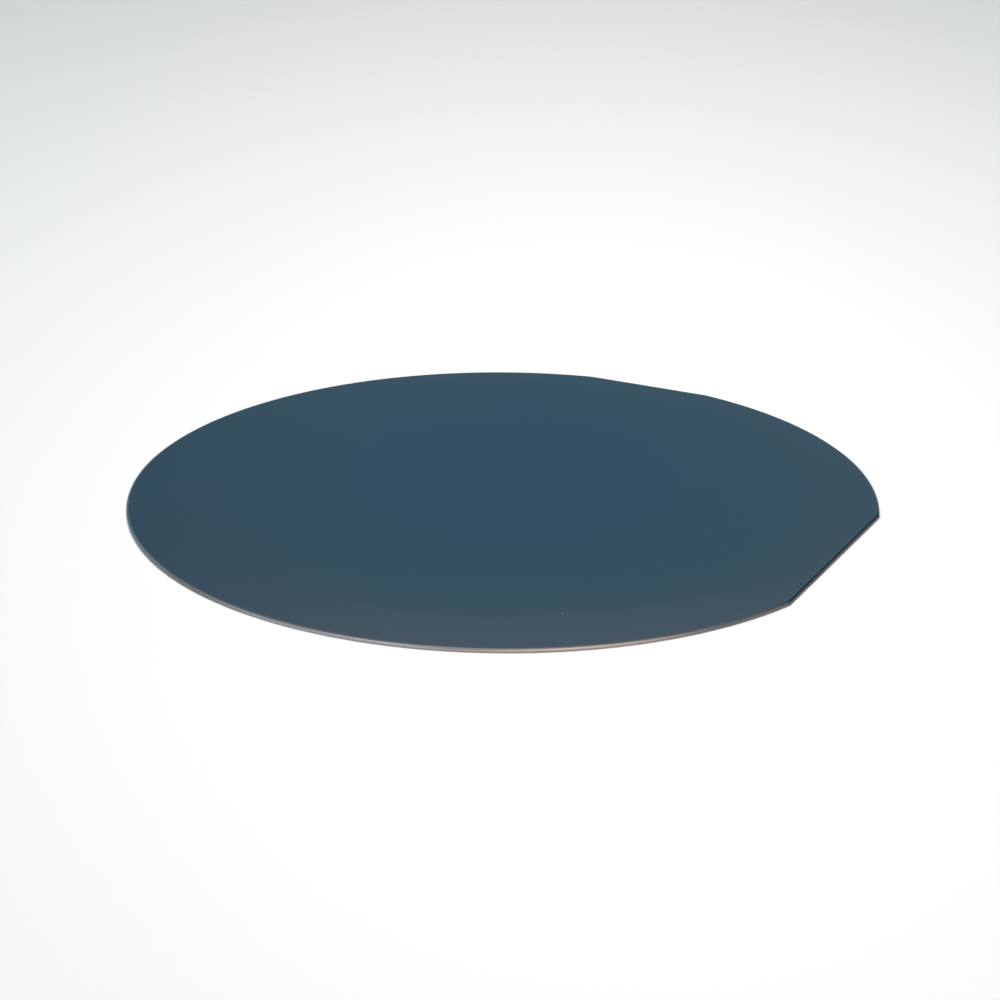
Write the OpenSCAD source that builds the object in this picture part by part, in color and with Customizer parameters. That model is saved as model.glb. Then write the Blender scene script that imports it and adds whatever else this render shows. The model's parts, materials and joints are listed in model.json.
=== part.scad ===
// Silicon wafer: one thin disc of single-crystal silicon with a ground edge,
// a long primary flat and a short secondary flat. Millimetres.
// The back face lies on Z = 0 with the disc's axis at the origin, the polished
// face looks along +Z, and the primary flat looks along -Y.
// The whole edge, flats included, carries one section: a shallow bevel off each
// face, a round blend and a narrow upright land in the middle.

/* [Disc] */
// Diameter of the round rim
wafer_d = 100; // [75:1:125]
// Thickness between the polished face and the back face
wafer_t = 0.525; // [0.38:0.005:0.8]

/* [Flats] */
// Length of the primary flat, which marks the crystal direction
primary_len = 32.5; // [18:0.5:40]
// Length of the secondary flat, which marks the crystal type
secondary_len = 18; // [8:0.5:24]
// Turn from the primary flat to the secondary flat, anticlockwise from above
secondary_deg = 90; // [45:45:180]
// Radius, seen from above, that eases each end of a flat into the rim
corner_r = 1; // [1:0.5:3]

/* [Ground edge] */
// Slope of the bevels, measured from the face
bevel_deg = 22; // [15:1:45]
// Radius of the blend between a bevel and the land
blend_r = 0.15; // [0.05:0.01:0.15]
// Height of the upright land at mid thickness
land_h = 0.1; // [0.02:0.01:0.12]

/* [Hidden] */

rim_r = wafer_d / 2;
mid_z = wafer_t / 2;
// A thin disc keeps some bevel: the blend shrinks before it would reach the face.
nose_r = min(blend_r, 0.92 * (mid_z - land_h / 2));
// Sideways run of the bevel, and of the whole edge, measured in from the rim.
bevel_run = (mid_z - land_h / 2 - nose_r * cos(bevel_deg)) / tan(bevel_deg);
edge_w = nose_r * (1 - sin(bevel_deg)) + bevel_run;
// Straight steps in each blend, and short facets in each eased corner.
steps = 6;
corner_steps = 2;
// How far the sections that cut the flats run on past both faces.
past = 0.4;
circle_fn = 360;

// Distance from the disc's axis to a flat of the given length.
function flat_distance(len) = sqrt(rim_r * rim_r - len * len / 4);

// The round of the edge as [outward, height] points from the lower bevel to the
// upper one. Outward is measured from the rim, so every value is 0 or less.
nose = [
    for (side = [-1, 1], i = [0 : steps])
        let (a = side * (90 - bevel_deg) * (side < 0 ? 1 - i / steps : i / steps))
        [nose_r * (cos(a) - 1), mid_z + side * land_h / 2 + nose_r * sin(a)]
];

// The disc's half section, from the axis out to the rim.
module disc_section() {
    polygon(concat(
        [[0, 0], [rim_r - edge_w, 0]],
        [for (p = nose) [rim_r + p[0], p[1]]],
        [[rim_r - edge_w, wafer_t], [0, wafer_t]]
    ));
}

// What a straight cut at distance d from the axis takes off: all that lies beyond
// the edge's section. Its bevels run on past both faces.
module cut_section(d) {
    reach = past / tan(bevel_deg);
    polygon(concat(
        [[rim_r + 1, -past], [d - edge_w - reach, -past]],
        [for (p = nose) [d + p[0], p[1]]],
        [[d - edge_w - reach, wafer_t + past], [rim_r + 1, wafer_t + past]]
    ));
}

// Round disc with the ground edge all the way round.
module disc() {
    rotate_extrude($fn = circle_fn) disc_section();
}

// A straight cut of length long at distance d, looking along the direction at
// angle deg from +X.
module straight_cut(d, deg, long) {
    rotate([0, 0, deg])
        translate([0, long / 2, 0])
            rotate([90, 0, 0])
                linear_extrude(height = long)
                    cut_section(d);
}

// The [distance, direction, length] of each straight cut that makes a flat of
// length len with eased corners: the flat in the middle, and facets on each side.
// A circle of corner_r that touches both the flat and the rim has its centre at
// angle turn from the flat's direction, and every one of the cuts is tangent to it.
function flat_cuts(len, deg) =
    let (turn = acos((flat_distance(len) - corner_r) / (rim_r - corner_r)))
    [
        for (i = [-corner_steps : corner_steps])
            let (a = turn * i / (corner_steps + 1))
            [corner_r + (rim_r - corner_r) * cos(turn - abs(a)), deg + a, 1.5 * len]
    ];

// The round disc, ground by the first n of the straight cuts.
module ground(cuts, n) {
    if (n == 0)
        disc();
    else
        difference() {
            ground(cuts, n - 1);
            straight_cut(cuts[n - 1][0], cuts[n - 1][1], cuts[n - 1][2]);
        }
}

// The wafer is ground from one slice of crystal, so it is one solid.
module wafer() {
    cuts = concat(
        flat_cuts(primary_len, -90),
        flat_cuts(secondary_len, -90 + secondary_deg)
    );
    color([0.20, 0.31, 0.38]) ground(cuts, len(cuts));
}

wafer();
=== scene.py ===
"""Silicon wafer: looks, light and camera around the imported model. Metres, +Z up.

The wafer lies on its back face with its axis at the origin. The primary flat looks
along -Y and the secondary flat along +X."""

import json
import math

import bpy
from mathutils import Matrix, Vector

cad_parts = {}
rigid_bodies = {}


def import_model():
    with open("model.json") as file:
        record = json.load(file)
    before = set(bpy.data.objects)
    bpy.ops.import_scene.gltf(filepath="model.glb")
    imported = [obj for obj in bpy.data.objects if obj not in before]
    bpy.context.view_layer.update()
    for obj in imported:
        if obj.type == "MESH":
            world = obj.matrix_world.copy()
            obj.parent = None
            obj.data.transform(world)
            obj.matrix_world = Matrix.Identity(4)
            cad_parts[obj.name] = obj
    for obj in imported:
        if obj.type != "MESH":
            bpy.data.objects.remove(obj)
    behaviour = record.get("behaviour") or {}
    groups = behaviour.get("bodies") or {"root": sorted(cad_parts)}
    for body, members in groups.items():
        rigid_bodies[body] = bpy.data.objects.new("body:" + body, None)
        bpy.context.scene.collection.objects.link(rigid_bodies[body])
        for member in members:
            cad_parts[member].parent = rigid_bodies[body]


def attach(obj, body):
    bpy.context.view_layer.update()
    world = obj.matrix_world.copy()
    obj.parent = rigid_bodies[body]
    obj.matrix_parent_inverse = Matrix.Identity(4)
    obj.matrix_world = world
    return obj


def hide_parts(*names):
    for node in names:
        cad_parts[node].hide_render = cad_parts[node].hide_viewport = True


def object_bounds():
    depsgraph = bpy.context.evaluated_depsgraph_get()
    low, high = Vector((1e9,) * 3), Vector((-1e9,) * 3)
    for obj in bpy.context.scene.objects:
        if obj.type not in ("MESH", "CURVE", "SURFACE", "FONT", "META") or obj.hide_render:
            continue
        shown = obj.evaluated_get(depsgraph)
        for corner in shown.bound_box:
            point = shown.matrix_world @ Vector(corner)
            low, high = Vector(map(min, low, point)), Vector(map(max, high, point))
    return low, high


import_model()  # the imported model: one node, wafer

CAD_LOW, CAD_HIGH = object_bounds()

# ---------------------------------------------------------------- dimensions
# The box gives the disc and both flats; the edge's section is the drawing's own.
MM = 0.001
RIM_R = CAD_HIGH.y
PRIMARY_D = -CAD_LOW.y
SECONDARY_D = CAD_HIGH.x
THICK = CAD_HIGH.z
BEVEL = math.radians(22)
NOSE_R = 0.15 * MM
LAND = 0.10 * MM
CORNER_R = 1.0 * MM  # in plan, where a flat meets the rim
ROLL_R = 0.10 * MM  # the polish rounds the line where face and bevel meet


# The view: the camera stands off by STAND, turned about the axis by TURN.
LENS_PX = 3400.0
PITCH = math.radians(21.565)
ROLL = math.radians(0.325)
TURN = math.radians(-64.37)
STAND = Vector((-0.00775, -8.439, 3.335)) * 0.05


def toward(azimuth, elevation):
    """A direction, given as seen by someone at the camera: 90 is straight ahead, 0 to the right."""
    a, e = math.radians(azimuth) + TURN, math.radians(elevation)
    return (math.cos(a) * math.cos(e), math.sin(a) * math.cos(e), math.sin(e))


def clear_scene():
    for o in list(bpy.data.objects):
        if o.type in ("CAMERA", "LIGHT"):
            bpy.data.objects.remove(o)


# ------------------------------------------------------------------ geometry
def plan_outline():
    """The outermost line of the wafer seen from above, anticlockwise, as (point, outward direction) pairs. Offsetting every point along its direction keeps flats flat and corners round."""
    out = []

    def arc(centre, radius, a0, a1, count, last=False):
        for i in range(count + (1 if last else 0)):
            a = a0 + (a1 - a0) * i / count
            n = Vector((math.cos(a), math.sin(a)))
            out.append((centre + radius * n, n))

    def flat(a, distance, half, count):
        n = Vector((math.cos(a), math.sin(a)))
        along = Vector((-n.y, n.x))
        for i in range(1, count):
            out.append((distance * n + along * half * (2 * i / count - 1), n))

    def turn(distance):
        return math.acos((distance - CORNER_R) / (RIM_R - CORNER_R))

    def corner(a):
        return (RIM_R - CORNER_R) * Vector((math.cos(a), math.sin(a)))

    t1, t2 = turn(PRIMARY_D), turn(SECONDARY_D)
    a1, a2 = math.radians(-90), 0.0
    origin = Vector((0, 0))
    flat(a1, PRIMARY_D, (RIM_R - CORNER_R) * math.sin(t1), 48)
    arc(corner(a1 + t1), CORNER_R, a1, a1 + t1, 10)
    arc(origin, RIM_R, a1 + t1, a2 - t2, 122)
    arc(corner(a2 - t2), CORNER_R, a2 - t2, a2, 8, last=True)
    flat(a2, SECONDARY_D, (RIM_R - CORNER_R) * math.sin(t2), 28)
    arc(corner(a2 + t2), CORNER_R, a2, a2 + t2, 8)
    arc(origin, RIM_R, a2 + t2, a1 + 2 * math.pi - t1, 480)
    arc(corner(a1 - t1), CORNER_R, a1 - t1 + 2 * math.pi, a1 + 2 * math.pi, 10, last=True)
    return out


def edge_section():
    """The ground edge from the back face up to the polished face, as (inset from the rim, height, tilt of the surface's outward direction above level)."""
    upper = []
    half = THICK / 2
    up = math.pi / 2 - BEVEL  # tilt of the bevel's own direction
    for i in range(9):  # land, then the blend
        a = up * i / 8
        upper.append((NOSE_R * (1 - math.cos(a)), LAND / 2 + NOSE_R * math.sin(a), a))
    nose_in, nose_h, _ = upper[-1]
    run = (half - nose_h) / math.tan(BEVEL)
    reach = ROLL_R * math.tan(BEVEL / 2)  # what the rolled line takes from the bevel
    corner_in = nose_in + run
    start = (corner_in - reach * math.cos(BEVEL), half - reach * math.sin(BEVEL))
    centre = (start[0] + ROLL_R * math.sin(BEVEL), start[1] - ROLL_R * math.cos(BEVEL))
    for i in range(5):
        a = up + BEVEL * i / 4
        upper.append((centre[0] - ROLL_R * math.cos(a), centre[1] + ROLL_R * math.sin(a), a))
    lower = [(e, -h, -a) for e, h, a in reversed(upper)]
    return [(e, h + half, a) for e, h, a in lower + upper]


def build_wafer():
    outline, section = plan_outline(), edge_section()
    n = len(outline)
    rings, normals = [], []
    for inset, z, tilt in section:
        rings.append([(*(p - inset * d), z) for p, d in outline])
        normals.append([(d.x * math.cos(tilt), d.y * math.cos(tilt), math.sin(tilt)) for p, d in outline])
    shares = (0.985, 0.94, 0.84, 0.68, 0.48, 0.26, 0.10)

    def face_rings(edge, z, sign):
        made = [[(x * s, y * s, z) for x, y, _ in edge] for s in shares]
        return made, [[(0, 0, sign)] * n for _ in shares]

    back, back_n = face_rings(rings[0], 0.0, -1.0)
    front, front_n = face_rings(rings[-1], THICK, 1.0)
    stack = back[::-1] + rings + front
    stack_n = back_n[::-1] + normals + front_n
    verts = [v for ring in stack for v in ring]
    vnorm = [v for ring in stack_n for v in ring]
    faces, mats = [], []
    first_edge, last_edge = len(back), len(back) + len(rings) - 1
    for k in range(len(stack) - 1):
        slot = 2 if k < first_edge else (1 if k < last_edge else 0)
        for i in range(n):
            j = (i + 1) % n
            a, b = k * n, (k + 1) * n
            faces.append((a + i, a + j, b + j, b + i))
            mats.append(slot)
    low, high = len(verts), len(verts) + 1
    verts += [(0, 0, 0), (0, 0, THICK)]
    vnorm += [(0, 0, -1), (0, 0, 1)]
    top = (len(stack) - 1) * n
    for i in range(n):
        j = (i + 1) % n
        faces.append((low, j, i))
        mats.append(2)
        faces.append((high, top + i, top + j))
        mats.append(0)
    mesh = bpy.data.meshes.new("silicon_wafer")
    mesh.from_pydata(verts, [], faces)
    mesh.polygons.foreach_set("material_index", mats)
    mesh.polygons.foreach_set("use_smooth", [True] * len(faces))
    mesh.update()
    mesh.normals_split_custom_set_from_vertices(vnorm)
    piece = bpy.data.objects.new("silicon_wafer", mesh)
    bpy.context.scene.collection.objects.link(piece)
    return piece


# ----------------------------------------------------------------- materials
class Nodes:
    """A short way to write node trees."""

    def __init__(self, owner):
        owner.use_nodes = True
        self.tree = owner.node_tree
        self.tree.nodes.clear()

    def add(self, kind, inputs=None, **settings):
        node = self.tree.nodes.new(kind)
        for k, v in settings.items():
            setattr(node, k, v)
        for k, v in (inputs or {}).items():
            socket = node.inputs[k]
            if isinstance(v, bpy.types.NodeSocket):
                self.tree.links.new(v, socket)
            else:
                socket.default_value = v
        return node

    def math(self, operation, a, b=0.0, c=0.0):
        node = self.tree.nodes.new("ShaderNodeMath")
        node.operation = operation
        for i, v in enumerate((a, b, c)):
            if isinstance(v, bpy.types.NodeSocket):
                self.tree.links.new(v, node.inputs[i])
            elif i < len(node.inputs):
                node.inputs[i].default_value = v
        return node.outputs[0]

    def ramp(self, value, stops, interpolation="EASE"):
        node = self.tree.nodes.new("ShaderNodeValToRGB")
        node.color_ramp.interpolation = interpolation
        e = node.color_ramp.elements
        while len(e) > 1:
            e.remove(e[-1])
        e[0].position, e[0].color = stops[0][0], (*stops[0][1], 1)
        for pos, col in stops[1:]:
            e.new(pos).color = (*col, 1)
        self.tree.links.new(value, node.inputs[0])
        return node.outputs[0]

    def mix(self, share, a, b):
        node = self.tree.nodes.new("ShaderNodeMix")
        node.data_type = "RGBA"
        for i, v in ((0, share), (6, a), (7, b)):
            if isinstance(v, bpy.types.NodeSocket):
                self.tree.links.new(v, node.inputs[i])
            else:
                node.inputs[i].default_value = (*v, 1) if i else v
        return node.outputs[2]


def polished_face():
    m = bpy.data.materials.new("polished_silicon")
    n = Nodes(m)
    at = n.add("ShaderNodeTexCoord").outputs["Object"]
    # distance from a point a little off the axis, in rim radii
    shift = n.add("ShaderNodeVectorMath", {0: at, 1: (-0.0006, 0.0013, -THICK)}, operation="ADD")
    out = n.math("DIVIDE", n.add("ShaderNodeVectorMath", {0: shift.outputs[0]}, operation="LENGTH").outputs["Value"], RIM_R)
    cloud = n.add("ShaderNodeTexNoise", {"Vector": at, "Scale": 38.0, "Detail": 2.0, "Roughness": 0.45}).outputs[0]
    tone = n.math("ADD", out, n.math("MULTIPLY", n.math("SUBTRACT", cloud, 0.5), 0.22))
    # the face's own dark teal at the centre, painted paler and warmer towards the rim as a painted reflection
    colour = n.ramp(tone, [(0.0, FACE_CENTRE), (0.30, FACE_INNER), (0.65, FACE_MIDDLE), (0.98, FACE_RIM_REFLECTION)], "LINEAR")
    # painted shade and painted reflection: the face is painted deeper towards the camera's left and warmer towards its
    # right
    leftness = n.add("ShaderNodeVectorMath", {0: at, 1: tuple(v / RIM_R for v in toward(180, 0))}, operation="DOT_PRODUCT").outputs["Value"]
    colour = n.mix(n.ramp(leftness, [(0.28, (0, 0, 0)), (0.95, (1, 1, 1))], "LINEAR"), colour, FACE_LEFT_SHADE)
    right_reflection = n.add("ShaderNodeMapRange", {0: leftness, 1: -0.35, 2: -0.65, 3: 0.0, 4: 0.07}).outputs[0]
    colour = n.mix(right_reflection, colour, FACE_RIGHT_REFLECTION)
    haze = n.add("ShaderNodeTexNoise", {"Vector": at, "Scale": 160.0, "Detail": 3.0, "Roughness": 0.5}).outputs[0]
    rough = n.math("ADD", 0.035, n.math("MULTIPLY", haze, 0.03))
    # one grain of dust on the polish
    grain = n.add("ShaderNodeVectorMath", {0: at, 1: DUST}, operation="DISTANCE").outputs["Value"]
    on = n.add("ShaderNodeMapRange", {0: grain, 1: 0.22 * MM, 2: 0.06 * MM, 3: 0.0, 4: 1.0}, interpolation_type="SMOOTHSTEP").outputs[0]
    colour = n.mix(on, colour, (0.29, 0.35, 0.39))
    rough = n.math("MAXIMUM", rough, n.math("MULTIPLY", on, 0.8))
    p = n.add("ShaderNodeBsdfPrincipled", {"Base Color": colour, "Metallic": 1.0, "Roughness": rough})
    n.add("ShaderNodeOutputMaterial", {"Surface": p.outputs[0]})
    return m


def ground_edge():
    m = bpy.data.materials.new("ground_edge")
    n = Nodes(m)
    at = n.add("ShaderNodeTexCoord").outputs["Object"]
    # the wheel's marks run round the edge: fine in height, long round the rim
    squeezed = n.add("ShaderNodeMapping", {"Vector": at, "Scale": (1.0, 1.0, 30.0)}).outputs[0]
    marks = n.add("ShaderNodeTexNoise", {"Vector": squeezed, "Scale": 900.0, "Detail": 4.0, "Roughness": 0.6}).outputs[0]
    pits = n.add("ShaderNodeTexNoise", {"Vector": at, "Scale": 6000.0, "Detail": 2.0}).outputs[0]
    # the polish reaches over the upper bevel; below it the ground land stays dull and is painted darker, a painted
    # shade along the lower part of the edge
    level = n.math("DIVIDE", n.add("ShaderNodeSeparateXYZ", {0: at}).outputs["Z"], THICK)
    marked_level = n.math("ADD", level, n.math("MULTIPLY", n.math("SUBTRACT", marks, 0.5), 0.08))
    polish_and_shade = n.ramp(marked_level, [(0.0, (0, 0, 0)), (0.60, (0, 0, 0)), (0.78, (1, 1, 1)), (1.0, (1, 1, 1))])
    land_with_painted_light = n.ramp(marks, [(0.3, LAND_DARK), (0.7, LAND_LIGHT)], "LINEAR")
    flat = n.add("ShaderNodeVectorMath", {0: at, 1: (1, 1, 0)}, operation="MULTIPLY")
    out = n.add("ShaderNodeVectorMath", {0: flat.outputs[0]}, operation="NORMALIZE").outputs[0]
    # painted reflections and painted shade on the land: paler stretches in front and a near-black land along the
    # primary flat
    for azimuth, inner, outer, tone in LAND_PAINTED_LIGHT:
        dot = n.add("ShaderNodeVectorMath", {0: out, 1: toward(azimuth, 0)}, operation="DOT_PRODUCT").outputs["Value"]
        near = n.add("ShaderNodeMapRange", {0: dot, 1: math.cos(math.radians(outer)), 2: math.cos(math.radians(inner)), 3: 0.0, 4: 1.0}, interpolation_type="SMOOTHSTEP").outputs[0]
        land_with_painted_light = n.mix(near, land_with_painted_light, tone)
    bright = n.ramp(marks, [(0.3, EDGE_DARK), (0.7, EDGE_LIGHT)], "LINEAR")
    colour = n.mix(polish_and_shade, land_with_painted_light, bright)
    rough = n.math("SUBTRACT", n.math("ADD", 0.42, n.math("MULTIPLY", pits, 0.12)), n.math("MULTIPLY", polish_and_shade, 0.31))
    bump = n.add("ShaderNodeBump", {"Height": n.math("ADD", marks, n.math("MULTIPLY", pits, 0.5)), "Strength": 0.12, "Distance": 0.00001})
    p = n.add("ShaderNodeBsdfPrincipled", {"Base Color": colour, "Metallic": 1.0, "Roughness": rough, "Normal": bump.outputs[0]})
    n.add("ShaderNodeOutputMaterial", {"Surface": p.outputs[0]})
    return m


def etched_back():
    m = bpy.data.materials.new("etched_back")
    n = Nodes(m)
    at = n.add("ShaderNodeTexCoord").outputs["Object"]
    cells = n.add("ShaderNodeTexVoronoi", {"Vector": at, "Scale": 2600.0, "Smoothness": 0.6}, feature="SMOOTH_F1").outputs["Distance"]
    cloud = n.add("ShaderNodeTexNoise", {"Vector": at, "Scale": 55.0, "Detail": 4.0, "Roughness": 0.55}).outputs[0]
    colour = n.ramp(cloud, [(0.3, (0.255, 0.275, 0.295)), (0.7, (0.315, 0.33, 0.345))], "LINEAR")
    rough = n.math("ADD", 0.34, n.math("MULTIPLY", cells, 0.12))
    bump = n.add("ShaderNodeBump", {"Height": cells, "Strength": 0.25, "Distance": 0.00003})
    p = n.add("ShaderNodeBsdfPrincipled", {"Base Color": colour, "Metallic": 1.0, "Roughness": rough, "Normal": bump.outputs[0]})
    n.add("ShaderNodeOutputMaterial", {"Surface": p.outputs[0]})
    return m


# the face's own dark teal, with a painted reflection that pales and warms it towards the rim
FACE_CENTRE = (0.060, 0.148, 0.215)
FACE_INNER = (0.069, 0.149, 0.214)
FACE_MIDDLE = (0.088, 0.152, 0.210)
FACE_RIM_REFLECTION = (0.157, 0.167, 0.206)
# painted shade on the face's left side and painted reflection on its right
FACE_LEFT_SHADE = (0.083, 0.126, 0.176)
FACE_RIGHT_REFLECTION = (0.200, 0.165, 0.170)
EDGE_DARK = (0.38, 0.37, 0.37)
EDGE_LIGHT = (0.46, 0.45, 0.45)
# the land's grey, varying with the marks and painted darker than the bevel as a painted shade
LAND_DARK = (0.13, 0.127, 0.126)
LAND_LIGHT = (0.20, 0.195, 0.192)
# stretches of the land painted paler as painted reflections, one of them warmer, and the
# primary flat's land painted nearly black as painted shade
LAND_PAINTED_LIGHT = (
    (246, 8, 26, (0.35, 0.35, 0.365)),
    (279, 8, 23, (0.40, 0.33, 0.305)),
    (334.4, 18.6, 20.0, (0.026, 0.027, 0.030)),
)
DUST = (-0.03216, -0.02358, THICK)


# --------------------------------------------------------- floor, light, view
FLOOR_NEAR = (0.90, 0.90, 0.90)
FLOOR_FAR = (0.697, 0.728, 0.742)
FLOOR_OUT = (0.900, 0.905, 0.908)
SWEEP = (0.150, 0.150, 0.150)  # the backdrop's own light, far out
POOL_X, POOL_Y = 0.014, -0.007
POOL_ACROSS, POOL_ALONG = 0.098, 0.360
HORIZON = (0.602, 0.606, 0.607)


def make_floor():
    mesh = bpy.data.meshes.new("floor")
    s, n = 12.0, 64
    ring = [(s * math.cos(2 * math.pi * i / n), s * math.sin(2 * math.pi * i / n), -0.00002) for i in range(n)]
    mesh.from_pydata(ring, [], [tuple(range(n))])
    floor = bpy.data.objects.new("floor", mesh)
    bpy.context.scene.collection.objects.link(floor)
    m = bpy.data.materials.new("floor")
    t = Nodes(m)
    # the paper is lit brightest round the wafer and falls off further out
    at = t.add("ShaderNodeTexCoord").outputs["Object"]
    turned = t.add("ShaderNodeMapping", {"Vector": at, "Rotation": (0, 0, -TURN), "Scale": (1.0, 1.0, 1.0)}, vector_type="POINT").outputs[0]
    xyz = t.add("ShaderNodeSeparateXYZ", {0: turned})
    across = t.math("DIVIDE", t.math("SUBTRACT", xyz.outputs["X"], POOL_X), POOL_ACROSS)
    along = t.math("DIVIDE", t.math("SUBTRACT", xyz.outputs["Y"], POOL_Y), POOL_ALONG)
    q = t.math("ADD", t.math("MULTIPLY", across, across), t.math("MULTIPLY", along, along))
    pool = t.math("POWER", math.e, t.math("MULTIPLY", q, -1.0))
    colour = t.mix(pool, FLOOR_FAR, FLOOR_NEAR)
    # far out it's paler again, to meet the background's tone
    out = t.add("ShaderNodeVectorMath", {0: at}, operation="LENGTH").outputs["Value"]
    far = t.add("ShaderNodeMapRange", {0: out, 1: 0.30, 2: 0.80, 3: 0.0, 4: 1.0}, interpolation_type="SMOOTHSTEP").outputs[0]
    colour = t.mix(far, colour, FLOOR_OUT)
    own = t.mix(far, (0, 0, 0), SWEEP)
    p = t.add("ShaderNodeBsdfPrincipled", {"Base Color": colour, "Roughness": 1.0, "Specular IOR Level": 0.0, "Emission Color": own, "Emission Strength": 1.0})
    t.add("ShaderNodeOutputMaterial", {"Surface": p.outputs[0]})
    mesh.materials.append(m)
    return floor


def make_world():
    world = bpy.data.worlds.new("studio")
    bpy.context.scene.world = world
    n = Nodes(world)
    way = n.add("ShaderNodeTexCoord").outputs["Generated"]
    height = n.add("ShaderNodeSeparateXYZ", {0: way}).outputs["Z"]

    def near(azimuth, elevation, inner, outer):
        """1 within inner degrees of a direction, falling to 0 at outer."""
        dot = n.add("ShaderNodeVectorMath", {0: way, 1: toward(azimuth, elevation)}, operation="DOT_PRODUCT").outputs["Value"]
        m = n.add("ShaderNodeMapRange", {0: dot, 1: math.cos(math.radians(outer)), 2: math.cos(math.radians(inner)), 3: 0.0, 4: 1.0}, interpolation_type="SMOOTHSTEP")
        return m.outputs[0]

    room = n.ramp(
        height,
        [
            (0.0, (0.34, 0.41, 0.45)),
            (0.06, (0.26, 0.36, 0.42)),
            (0.15, ROOM_LOW),
            (0.30, ROOM_LOW),
            (0.34, (0.175, 0.326, 0.408)),
            (0.37, (0.203, 0.343, 0.415)),
            (0.39, (0.228, 0.362, 0.420)),
            (0.41, (0.318, 0.424, 0.478)),
            (0.46, ROOM),
            (0.54, ROOM),
            (0.64, ROOM_HIGH),
            (1.0, ROOM_HIGH),
        ],
        "LINEAR",
    )
    # a softbox overhead, leaning to the camera's side, and a window to the left
    box = near(270, 72, 22, 46)
    window = n.math("MULTIPLY", near(168, 50, 12, 30), 0.55)
    front_left = n.math("MULTIPLY", near(222, 48, 8, 20), 1.3)
    front_right = n.math("MULTIPLY", near(290, 16, 8, 28), 1.15)
    glow = n.math("MAXIMUM", n.math("MAXIMUM", box, window), n.math("MAXIMUM", front_left, front_right))
    # the lights leave a gap in front, where whoever works at the bench stands
    off = n.math("ABSOLUTE", n.add("ShaderNodeVectorMath", {0: way, 1: toward(346, 0)}, operation="DOT_PRODUCT").outputs["Value"])
    ahead = n.add("ShaderNodeVectorMath", {0: way, 1: toward(256, 0)}, operation="DOT_PRODUCT").outputs["Value"]
    slab = n.add("ShaderNodeMapRange", {0: off, 1: 0.25, 2: 0.09, 3: 0.0, 4: 0.88}, interpolation_type="SMOOTHSTEP").outputs[0]
    front = n.add("ShaderNodeMapRange", {0: ahead, 1: 0.0, 2: 0.25, 3: 0.0, 4: 1.0}, interpolation_type="SMOOTHSTEP").outputs[0]
    glow = n.math("MULTIPLY", glow, n.math("SUBTRACT", 1.0, n.math("MULTIPLY", slab, front)))
    side = n.add("ShaderNodeVectorMath", {0: way, 1: toward(0, 0)}, operation="DOT_PRODUCT").outputs["Value"]
    tint = n.ramp(n.math("ADD", n.math("MULTIPLY", side, 0.5), 0.5), [(0.3, SOFT_LEFT), (0.7, SOFT_RIGHT)], "LINEAR")
    lit = n.add("ShaderNodeVectorMath", {0: tint, 3: glow}, operation="SCALE").outputs[0]
    lamps = n.add("ShaderNodeVectorMath", {0: room, 1: lit}, operation="ADD").outputs[0]
    # a dark flag stands behind, to the right
    sky = n.mix(near(50, 24, 18, 25), lamps, FLAG)
    rays = n.add("ShaderNodeLightPath")
    fill = n.mix(near(240, 38, 15, 50), (0.42, 0.42, 0.42), (0.8, 0.8, 0.8))
    # the room is dark to the right, and a low light in front reaches under the bevel
    fill = n.mix(near(338, 18, 48, 78), fill, (0.03, 0.03, 0.03))
    fill = n.mix(near(268, 21, 6, 18), fill, (8.0, 8.0, 8.0))
    seen = n.mix(rays.outputs["Is Camera Ray"], fill, HORIZON)
    shine = n.mix(rays.outputs["Is Glossy Ray"], seen, sky)
    back = n.add("ShaderNodeBackground", {"Color": shine, "Strength": 1.0})
    n.add("ShaderNodeOutputWorld", {"Surface": back.outputs[0]})


ROOM_LOW = (0.150, 0.310, 0.400)
ROOM = (0.340, 0.430, 0.480)
ROOM_HIGH = (0.220, 0.232, 0.242)
FLAG = (0.035, 0.048, 0.058)
SOFT_LEFT = (1.15, 1.16, 1.22)
SOFT_RIGHT = (1.30, 1.035, 0.945)


def make_light():
    light = bpy.data.lights.new("softbox", "AREA")
    light.shape = "DISK"
    light.size = 0.3
    light.energy = 1.91
    lamp = bpy.data.objects.new("softbox", light)
    lamp.location = POOL_X * Vector(toward(0, 0)) + POOL_Y * Vector(toward(90, 0)) + Vector((0, 0, 0.5))
    lamp.visible_glossy = False
    lamp.visible_camera = False
    bpy.context.scene.collection.objects.link(lamp)


def make_camera():
    data = bpy.data.cameras.new("camera")
    data.sensor_width = 36.0
    data.lens = 36.0 * LENS_PX / 1000.0
    data.clip_start, data.clip_end = 0.01, 100.0
    cam = bpy.data.objects.new("camera", data)
    bpy.context.scene.collection.objects.link(cam)
    spin = Matrix.Rotation(TURN, 3, "Z")
    right = Vector((1, 0, 0))
    up = Vector((0, math.sin(PITCH), math.cos(PITCH)))
    ahead = Vector((0, math.cos(PITCH), -math.sin(PITCH)))
    r = math.cos(ROLL) * right + math.sin(ROLL) * up
    u = math.cos(ROLL) * up - math.sin(ROLL) * right
    r, u, ahead = spin @ r, spin @ u, spin @ ahead
    m = Matrix.Identity(4)
    for i in range(3):
        m[i][0], m[i][1], m[i][2] = r[i], u[i], -ahead[i]
    m.translation = spin @ STAND
    cam.matrix_world = m
    bpy.context.scene.camera = cam


clear_scene()
wafer = build_wafer()
for material in (polished_face(), ground_edge(), etched_back()):
    wafer.data.materials.append(material)
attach(wafer, "root")
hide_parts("wafer")

make_floor()
make_world()
make_light()
make_camera()
bpy.context.scene.view_settings.view_transform = "Standard"
bpy.context.scene.view_settings.look = "None"
